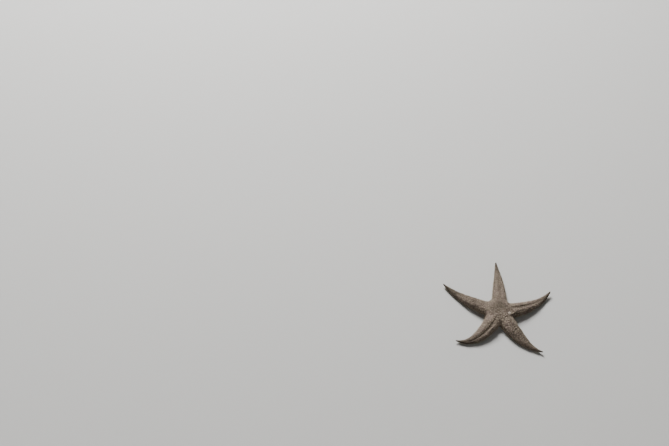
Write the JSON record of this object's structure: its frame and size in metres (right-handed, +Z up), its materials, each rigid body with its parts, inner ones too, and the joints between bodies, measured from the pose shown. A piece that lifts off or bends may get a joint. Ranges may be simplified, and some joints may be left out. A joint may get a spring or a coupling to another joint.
{
  "type": "starfish",
  "caption": "Common starfish lying flat, back upwards: a small round disc with slender, gently curved, tapering arms, each grooved beneath.",
  "frame": {"origin": "middle of the bottom of the whole starfish, on the floor it lies on", "axes": "+Z up, out of its back; +X along the longest extent, from the tip of the upper left arm to the tip of the right arm; +Y towards the tip of the top arm"},
  "size_m": [0.1304, 0.1216, 0.0136],
  "materials": {
    "skin": "damp rough skin, purplish brown, with short blunt spines",
    "tube_feet": "wet translucent flesh, pale straw",
    "eyespot": "wet, dull red",
    "sieve_plate": "finely grooved chalky plate, pale",
    "mouth_skin": "soft damp skin, pale"
  },
  "bodies": {
    "root": {"disc": "skin", "arm_upper_left": "skin", "arm_top": "skin", "arm_right": "skin", "arm_lower_right": "skin", "arm_lower_left": "skin", "tube_feet_upper_left": "tube_feet", "tube_feet_top": "tube_feet", "tube_feet_right": "tube_feet", "tube_feet_lower_right": "tube_feet", "tube_feet_lower_left": "tube_feet", "eyespot_upper_left": "eyespot", "eyespot_top": "eyespot", "eyespot_right": "eyespot", "eyespot_lower_right": "eyespot", "eyespot_lower_left": "eyespot", "madreporite": "sieve_plate", "mouth": "mouth_skin"}
  },
  "joints": []
}
